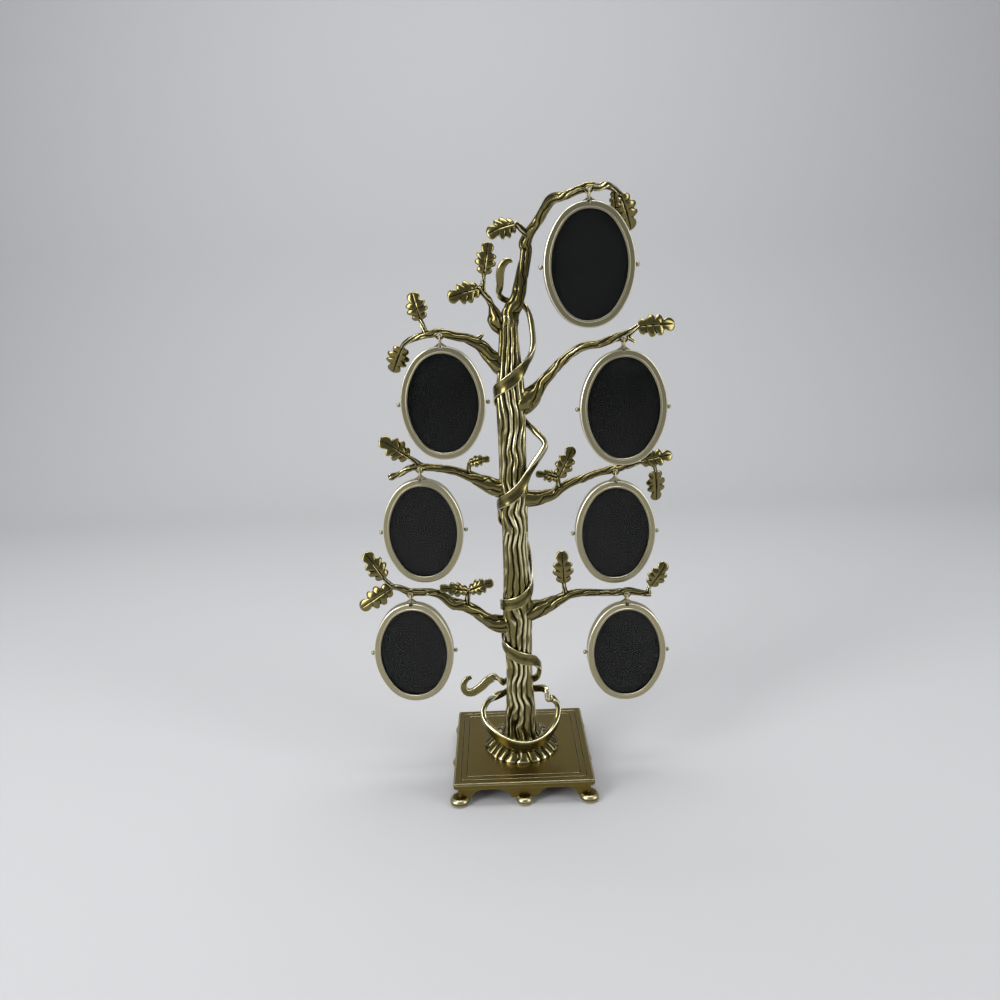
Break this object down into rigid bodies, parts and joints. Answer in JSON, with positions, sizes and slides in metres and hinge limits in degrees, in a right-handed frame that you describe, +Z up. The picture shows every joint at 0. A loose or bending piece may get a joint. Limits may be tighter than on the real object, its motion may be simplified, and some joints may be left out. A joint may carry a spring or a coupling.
{
  "type": "photo tree stand",
  "caption": "Cast tree with a climbing vine on a square footed base, with small two-sided oval picture frames hanging from its branches on rings",
  "frame": {"origin": "on the table, under the centre of the whole stand and of its square base", "axes": "+Z up along the trunk; -Y to the front, the side that the pictures face; +X to the right as seen from the front"},
  "size_m": [0.1687, 0.0798, 0.3095],
  "materials": {
    "antique_brass": "antiqued cast metal, dark in the grooves and rubbed bright on the ridges",
    "olive_brass": "antiqued cast metal, satin top with bright edges",
    "pale_brass": "satin, pale",
    "clear_glass": "clear and glossy",
    "black_card": "matt black paper board"
  },
  "bodies": {
    "tree": {"base_plate": "olive_brass", "base_bolt": "antique_brass", "root_mound": "antique_brass", "trunk": "antique_brass", "climbing_vine": "antique_brass", "root_vine": "antique_brass", "top_branch": "antique_brass", "knot_twig": "antique_brass", "left_upper_branch": "antique_brass", "right_upper_branch": "antique_brass", "left_middle_branch": "antique_brass", "right_middle_branch": "antique_brass", "left_lower_branch": "antique_brass", "right_lower_branch": "antique_brass"},
    "ring_1": {"jump_ring_1": "pale_brass"},
    "frame_1": {"back_bezel_1": "pale_brass", "panes_1": "clear_glass", "photo_card_1": "black_card", "side_pins_1": "pale_brass"},
    "front_1": {"front_bezel_1": "pale_brass"},
    "ring_2": {"jump_ring_2": "pale_brass"},
    "frame_2": {"back_bezel_2": "pale_brass", "panes_2": "clear_glass", "photo_card_2": "black_card", "side_pins_2": "pale_brass"},
    "front_2": {"front_bezel_2": "pale_brass"},
    "ring_3": {"jump_ring_3": "pale_brass"},
    "frame_3": {"back_bezel_3": "pale_brass", "panes_3": "clear_glass", "photo_card_3": "black_card", "side_pins_3": "pale_brass"},
    "front_3": {"front_bezel_3": "pale_brass"},
    "ring_4": {"jump_ring_4": "pale_brass"},
    "frame_4": {"back_bezel_4": "pale_brass", "panes_4": "clear_glass", "photo_card_4": "black_card", "side_pins_4": "pale_brass"},
    "front_4": {"front_bezel_4": "pale_brass"},
    "ring_5": {"jump_ring_5": "pale_brass"},
    "frame_5": {"back_bezel_5": "pale_brass", "panes_5": "clear_glass", "photo_card_5": "black_card", "side_pins_5": "pale_brass"},
    "front_5": {"front_bezel_5": "pale_brass"},
    "ring_6": {"jump_ring_6": "pale_brass"},
    "frame_6": {"back_bezel_6": "pale_brass", "panes_6": "clear_glass", "photo_card_6": "black_card", "side_pins_6": "pale_brass"},
    "front_6": {"front_bezel_6": "pale_brass"},
    "ring_7": {"jump_ring_7": "pale_brass"},
    "frame_7": {"back_bezel_7": "pale_brass", "panes_7": "clear_glass", "photo_card_7": "black_card", "side_pins_7": "pale_brass"},
    "front_7": {"front_bezel_7": "pale_brass"}
  },
  "joints": [
    {"name": "ring_1_swing", "type": "hinge", "parent": "tree", "child": "ring_1", "pos_m": [0.0383, -0.016, 0.3038], "axis": [-1, 0, 0], "range_deg": [-30, 30]},
    {"name": "frame_1_tilt", "type": "hinge", "parent": "ring_1", "child": "frame_1", "pos_m": [0.0383, -0.016, 0.3011], "axis": [0, 1, 0], "range_deg": [-10, 10]},
    {"name": "front_1_open", "type": "hinge", "parent": "frame_1", "child": "front_1", "pos_m": [0.0383, -0.0171, 0.30101], "axis": [-1, 0, 0], "range_deg": [0, 25]},
    {"name": "ring_2_swing", "type": "hinge", "parent": "tree", "child": "ring_2", "pos_m": [-0.0342, -0.002, 0.2402], "axis": [-1, 0, 0], "range_deg": [-30, 30]},
    {"name": "frame_2_tilt", "type": "hinge", "parent": "ring_2", "child": "frame_2", "pos_m": [-0.0342, -0.002, 0.2375], "axis": [0, 1, 0], "range_deg": [-1.5, 8.5]},
    {"name": "front_2_open", "type": "hinge", "parent": "frame_2", "child": "front_2", "pos_m": [-0.0342, -0.0031, 0.23741], "axis": [-1, 0, 0], "range_deg": [0, 25]},
    {"name": "ring_3_swing", "type": "hinge", "parent": "tree", "child": "ring_3", "pos_m": [0.0552, -0.012, 0.236], "axis": [-1, 0, 0], "range_deg": [-30, 30]},
    {"name": "frame_3_tilt", "type": "hinge", "parent": "ring_3", "child": "frame_3", "pos_m": [0.0552, -0.012, 0.2333], "axis": [0, 1, 0], "range_deg": [-8, 8]},
    {"name": "front_3_open", "type": "hinge", "parent": "frame_3", "child": "front_3", "pos_m": [0.0552, -0.0131, 0.23321], "axis": [-1, 0, 0], "range_deg": [0, 25]},
    {"name": "ring_4_swing", "type": "hinge", "parent": "tree", "child": "ring_4", "pos_m": [-0.0486, 0.002, 0.1722], "axis": [-1, 0, 0], "range_deg": [-30, 30]},
    {"name": "frame_4_tilt", "type": "hinge", "parent": "ring_4", "child": "frame_4", "pos_m": [-0.0486, 0.002, 0.1695], "axis": [0, 1, 0], "range_deg": [-10, 6]},
    {"name": "front_4_open", "type": "hinge", "parent": "frame_4", "child": "front_4", "pos_m": [-0.0486, 0.0009, 0.16941], "axis": [-1, 0, 0], "range_deg": [0, 25]},
    {"name": "ring_5_swing", "type": "hinge", "parent": "tree", "child": "ring_5", "pos_m": [0.0539, 0.005, 0.1668], "axis": [-1, 0, 0], "range_deg": [-30, 30]},
    {"name": "frame_5_tilt", "type": "hinge", "parent": "ring_5", "child": "frame_5", "pos_m": [0.0539, 0.005, 0.1641], "axis": [0, 1, 0], "range_deg": [-10, 10]},
    {"name": "front_5_open", "type": "hinge", "parent": "frame_5", "child": "front_5", "pos_m": [0.0539, 0.0039, 0.16401], "axis": [-1, 0, 0], "range_deg": [0, 25]},
    {"name": "ring_6_swing", "type": "hinge", "parent": "tree", "child": "ring_6", "pos_m": [-0.057, -0.005, 0.1059], "axis": [-1, 0, 0], "range_deg": [-30, 30]},
    {"name": "frame_6_tilt", "type": "hinge", "parent": "ring_6", "child": "frame_6", "pos_m": [-0.057, -0.005, 0.1032], "axis": [0, 1, 0], "range_deg": [-10, 10]},
    {"name": "front_6_open", "type": "hinge", "parent": "frame_6", "child": "front_6", "pos_m": [-0.057, -0.0061, 0.10311], "axis": [-1, 0, 0], "range_deg": [0, 25]},
    {"name": "ring_7_swing", "type": "hinge", "parent": "tree", "child": "ring_7", "pos_m": [0.059, -0.003, 0.1009], "axis": [-1, 0, 0], "range_deg": [-30, 30]},
    {"name": "frame_7_tilt", "type": "hinge", "parent": "ring_7", "child": "frame_7", "pos_m": [0.059, -0.003, 0.0982], "axis": [0, 1, 0], "range_deg": [-10, 10]},
    {"name": "front_7_open", "type": "hinge", "parent": "frame_7", "child": "front_7", "pos_m": [0.059, -0.0041, 0.09811], "axis": [-1, 0, 0], "range_deg": [0, 25]}
  ]
}
